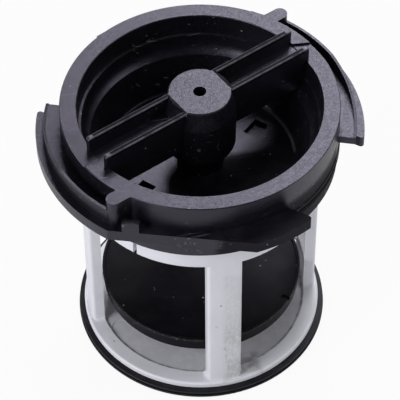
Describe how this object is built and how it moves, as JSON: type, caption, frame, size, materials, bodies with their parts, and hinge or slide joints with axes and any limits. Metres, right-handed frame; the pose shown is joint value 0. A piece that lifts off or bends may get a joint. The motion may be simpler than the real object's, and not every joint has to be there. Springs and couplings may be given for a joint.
{
  "type": "washing machine drain pump filter",
  "caption": "Drain pump filter with a bayonet cap, a recessed cross-bar handle, a post-type strainer cage and rubber seals.",
  "frame": {"origin": "centre of the base, where the white flange's lower lip stands", "axes": "+Z along the filter's axis from the cage's base to the handle; the four posts stand on +X, -X, +Y and -Y"},
  "size_m": [0.0826, 0.0818, 0.083],
  "materials": {
    "cap_plastic": "satin moulded plastic",
    "cap_seal_rubber": "matte rubber",
    "cage_plastic": "smooth moulded plastic, lightly soiled",
    "disc_plastic": "satin moulded plastic",
    "flange_seal_rubber": "matte rubber"
  },
  "bodies": {
    "root": {"bayonet_cap": "cap_plastic", "cap_seal_ring": "cap_seal_rubber", "strainer_cage": "cage_plastic", "end_disc": "disc_plastic", "flange_seal_ring": "flange_seal_rubber"}
  },
  "joints": []
}
